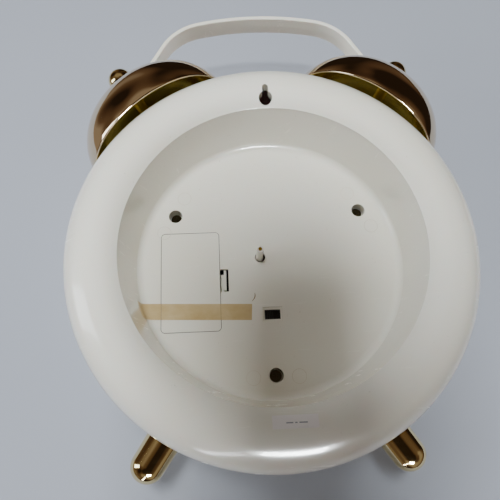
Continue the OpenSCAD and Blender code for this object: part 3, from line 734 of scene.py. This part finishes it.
def tube(points, r, sides=10):
    """A round wire along a smooth run of points."""
    verts, faces = [], []
    for i, p in enumerate(points):
        ahead = (points[min(i + 1, len(points) - 1)] - points[max(i - 1, 0)]).normalized()
        side = ahead.cross(Vector((0, 0, 1))).normalized()
        rise = side.cross(ahead)
        for k in range(sides):
            a = 2 * math.pi * k / sides
            verts.append(p + (side * math.cos(a) + rise * math.sin(a)) * r)
    for i in range(len(points) - 1):
        for k in range(sides):
            m = (k + 1) % sides
            faces.append((i * sides + k, i * sides + m, (i + 1) * sides + m, (i + 1) * sides + k))
    faces.append(list(range(sides)))
    faces.append(list(range(len(verts) - sides, len(verts))))
    return verts, faces


def make_springs():
    """The negative contacts are conical springs of round wire."""
    low, high = box_mm("contact_springs")
    cells_low, cells_high = box_mm("battery_cells")
    y = (cells_low.y + cells_high.y) / 2
    wire, wide, taper, turns, per_turn = 0.3, 4.2, 1.5, 4.5, 40
    ends = ((cells_low.x + CELL_R, low.z + wire, cells_low.z + wire),
            (cells_high.x - CELL_R, high.z - wire, cells_high.z - wire))
    wires = []
    for x, z0, z1 in ends:
        points = []
        for i in range(int(turns * per_turn) + 1):
            share = i / (turns * per_turn)
            r, a = wide - taper * share, 2 * math.pi * i / per_turn
            points.append(Vector((x + r * math.cos(a), y + r * math.sin(a), z0 + (z1 - z0) * share)))
        wires.append(tube(points, wire))
    steel = MATERIALS["zinc_steel"]
    piece("spring_wires", joined(wires), steel, "case", ["contact_springs"])


# ---- Dial ----

NUMERAL_R = 69
NUMERAL_SIZE = 19
TRACK_RS = (82.0, 94.2)
TRACK_W, TRACK_H = 0.45, 0.12


def make_numerals():
    """Plain numbers round the dial, raised a tenth of a millimetre."""
    for hour in range(1, 13):
        a = math.radians(30 * hour)
        curve = bpy.data.curves.new(f"numeral_{hour}", "FONT")
        curve.body = str(hour)
        curve.align_x, curve.align_y = "CENTER", "CENTER"
        curve.size = NUMERAL_SIZE * MM
        curve.extrude = 0.08 * MM
        curve.offset = 0.25 * MM
        curve.materials.append(MATERIALS["black_print"])
        obj = bpy.data.objects.new(f"numeral_{hour}", curve)
        bpy.context.scene.collection.objects.link(obj)
        place = Vector((NUMERAL_R * math.sin(a), DIAL_Y - 0.1, AXIS_Z + NUMERAL_R * math.cos(a))) * MM
        obj.matrix_world = Matrix.Translation(place) @ Matrix.Rotation(math.pi / 2, 4, "X")
        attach(obj, "case")


def make_minute_track():
    """Two fine printed rings that hold the minute dots between them."""
    rings = []
    for r in TRACK_RS:
        section = [(r, 0), (r + TRACK_W, 0), (r + TRACK_W, TRACK_H), (r, TRACK_H)]
        rings.append(moved(lathe(section, 240, closed=True), out_of_back(0, DIAL_Y - TRACK_H, AXIS_Z)))
    piece("minute_track", joined(rings), MATERIALS["black_print"], "case")


# ---- Stage, light and camera ----

def stage_plane(name, size, visible):
    """A pale plane that the clock lies on. visible is surface, or reflection, which only gloss sees."""
    place = Vector((0, FRONT_Y - 0.5, AXIS_Z)) * MM
    bpy.ops.mesh.primitive_plane_add(size=size, location=place, rotation=(-math.pi / 2, 0, 0))
    plane = bpy.context.object
    plane.name = name
    plane.visible_camera = plane.visible_diffuse = plane.visible_transmission = visible == "surface"
    plane.visible_shadow = False
    plane.visible_glossy = visible == "reflection"
    plane.data.materials.append(FLOOR_PAINT)


def floor_paint():
    """Matt pale paint that is clear from behind, so that the dial can be seen through the floor."""
    mat = new_material("floor_paint", (0.34, 0.36, 0.41), 0.7, Specular_IOR_Level=0.05)
    g = Graph(mat)
    g.color(g.ramp(g.noise(3, 2), [(0.3, (0.325, 0.345, 0.395)), (0.7, (0.355, 0.375, 0.425))]))
    clear = g.add("ShaderNodeBsdfTransparent")
    facing = g.add("ShaderNodeNewGeometry").outputs["Backfacing"]
    both = g.add("ShaderNodeMixShader")
    g.link(facing, both.inputs[0])
    g.link(g.shader.outputs[0], both.inputs[1])
    g.link(clear.outputs[0], both.inputs[2])
    g.link(both.outputs[0], g.tree.nodes["Material Output"].inputs["Surface"])
    return mat


FLOOR_PAINT = floor_paint()


def area_light(name, place, size, watts, color, seen_by="both"):
    """An area light in metres from the middle of the case, facing it. seen_by is both, gloss or matt."""
    light = bpy.data.lights.new(name, "AREA")
    light.shape = "RECTANGLE"
    light.size, light.size_y = size
    light.energy = watts
    light.color = color
    obj = bpy.data.objects.new(name, light)
    obj.location = Vector((0, 0, AXIS_Z * MM)) + Vector(place)
    obj.rotation_euler = (-Vector(place)).to_track_quat("-Z", "Y").to_euler()
    obj.visible_diffuse = seen_by != "gloss"
    obj.visible_glossy = seen_by != "matt"
    bpy.context.scene.collection.objects.link(obj)


def shade_flag():
    """A dark card above the lower half of the back, as a photographer's flag: it only casts shade."""
    half, top, bottom, corner = 0.057, 0.060, -0.60, 0.05
    points = arc(half - corner, top - corner, corner, 0, 90, 12)
    points += arc(corner - half, top - corner, corner, 90, 180, 12)
    points += [(-half, bottom), (half, bottom)]
    mesh = bpy.data.meshes.new("shade_flag")
    mesh.from_pydata([(x, 0, z) for x, z in points], [], [list(range(len(points)))])
    mesh.materials.append(new_material("flag_cloth", (0.03, 0.022, 0.018), 0.9))
    flag = bpy.data.objects.new("shade_flag", mesh)
    flag.location = (0.013, 0.385, AXIS_Z * MM)
    flag.visible_camera = flag.visible_glossy = False
    bpy.context.scene.collection.objects.link(flag)


ROOM_SHADES = (
    (0.40, (0.06, 0.038, 0.025)),
    (0.47, (0.20, 0.115, 0.065)),
    (0.56, (0.34, 0.22, 0.13)),
    (0.64, (0.80, 0.66, 0.50)),
)


def room_world():
    """A plain pale backdrop, and for everything it lights a dim warm room with a few brighter patches."""
    world = bpy.data.worlds.new("studio")
    world.use_nodes = True
    tree = world.node_tree
    room = tree.nodes["Background"]
    where = tree.nodes.new("ShaderNodeTexCoord")
    tex = tree.nodes.new("ShaderNodeTexNoise")
    tex.inputs["Scale"].default_value = 1.25
    tex.inputs["Detail"].default_value = 0.6
    ramp = tree.nodes.new("ShaderNodeValToRGB")
    set_stops(ramp, ROOM_SHADES)
    tree.links.new(where.outputs["Generated"], tex.inputs["Vector"])
    tree.links.new(tex.outputs["Fac"], ramp.inputs["Fac"])
    tree.links.new(ramp.outputs["Color"], room.inputs["Color"])
    room.inputs["Strength"].default_value = 0.36
    backdrop = tree.nodes.new("ShaderNodeBackground")
    backdrop.inputs["Color"].default_value = (0.36, 0.38, 0.42, 1)
    backdrop.inputs["Strength"].default_value = 1.0
    path = tree.nodes.new("ShaderNodeLightPath")
    both = tree.nodes.new("ShaderNodeMixShader")
    tree.links.new(path.outputs["Is Camera Ray"], both.inputs[0])
    tree.links.new(room.outputs[0], both.inputs[1])
    tree.links.new(backdrop.outputs[0], both.inputs[2])
    tree.links.new(both.outputs[0], tree.nodes["World Output"].inputs["Surface"])
    bpy.context.scene.world = world


def stage_light():
    """Window light from behind and beside the clock, and a softer pair for its front."""
    area_light("key", (0.10, 1.50, 0.12), (0.32, 0.32), 32, (0.92, 0.97, 1.0), seen_by="matt")
    area_light("ceiling", (0.9, 1.2, 1.0), (1.2, 1.2), 5, (0.88, 0.94, 1.0), seen_by="matt")
    area_light("window_left", (1.25, 0.50, -0.05), (0.9, 0.35), 7, (0.84, 0.92, 1.0))
    area_light("window_low", (0.42, 0.20, -1.30), (0.8, 0.12), 4, (0.94, 0.94, 1.0))
    area_light("window_cove", (-0.16, 0.66, -1.23), (0.5, 0.26), 60, (0.93, 0.98, 1.0), seen_by="gloss")
    area_light("front_key", (0.8, -1.1, 0.8), (0.9, 0.9), 20, (1.0, 0.98, 0.95))
    area_light("front_fill", (-1.1, -0.9, 0.2), (0.9, 0.9), 10, (0.95, 0.97, 1.0))
    room_world()


# The viewer stands behind the clock, a little below its middle, and looks up and in
EYE = (0.0220, 0.3346, 0.0358)
EYE_TURN = (107.22, 2.53, 179.04)
LENS_MM = 38.6


def stage_camera():
    """The photograph's viewpoint, in metres and degrees."""
    data = bpy.data.cameras.new("camera")
    data.lens = LENS_MM
    data.sensor_width = 36
    data.clip_start = 0.01
    cam = bpy.data.objects.new("camera", data)
    cam.location = EYE
    cam.rotation_euler = [math.radians(a) for a in EYE_TURN]
    bpy.context.scene.collection.objects.link(cam)
    bpy.context.scene.camera = cam


dress_cad_nodes()
for side, name in ((1, "left"), (-1, "right")):
    make_bell(side, f"bell_{name}")
    make_ball_nut(side, f"ball_nut_{name}")
make_handle()
make_knob()
make_tape()
make_marks()
make_gap_grime()
make_mouth_lip()
make_sticker()
make_cells()
make_springs()
make_numerals()
make_minute_track()
stage_plane("stage_floor", 6, "surface")
stage_plane("stage_reflection", 0.66, "reflection")
shade_flag()
stage_light()
stage_camera()
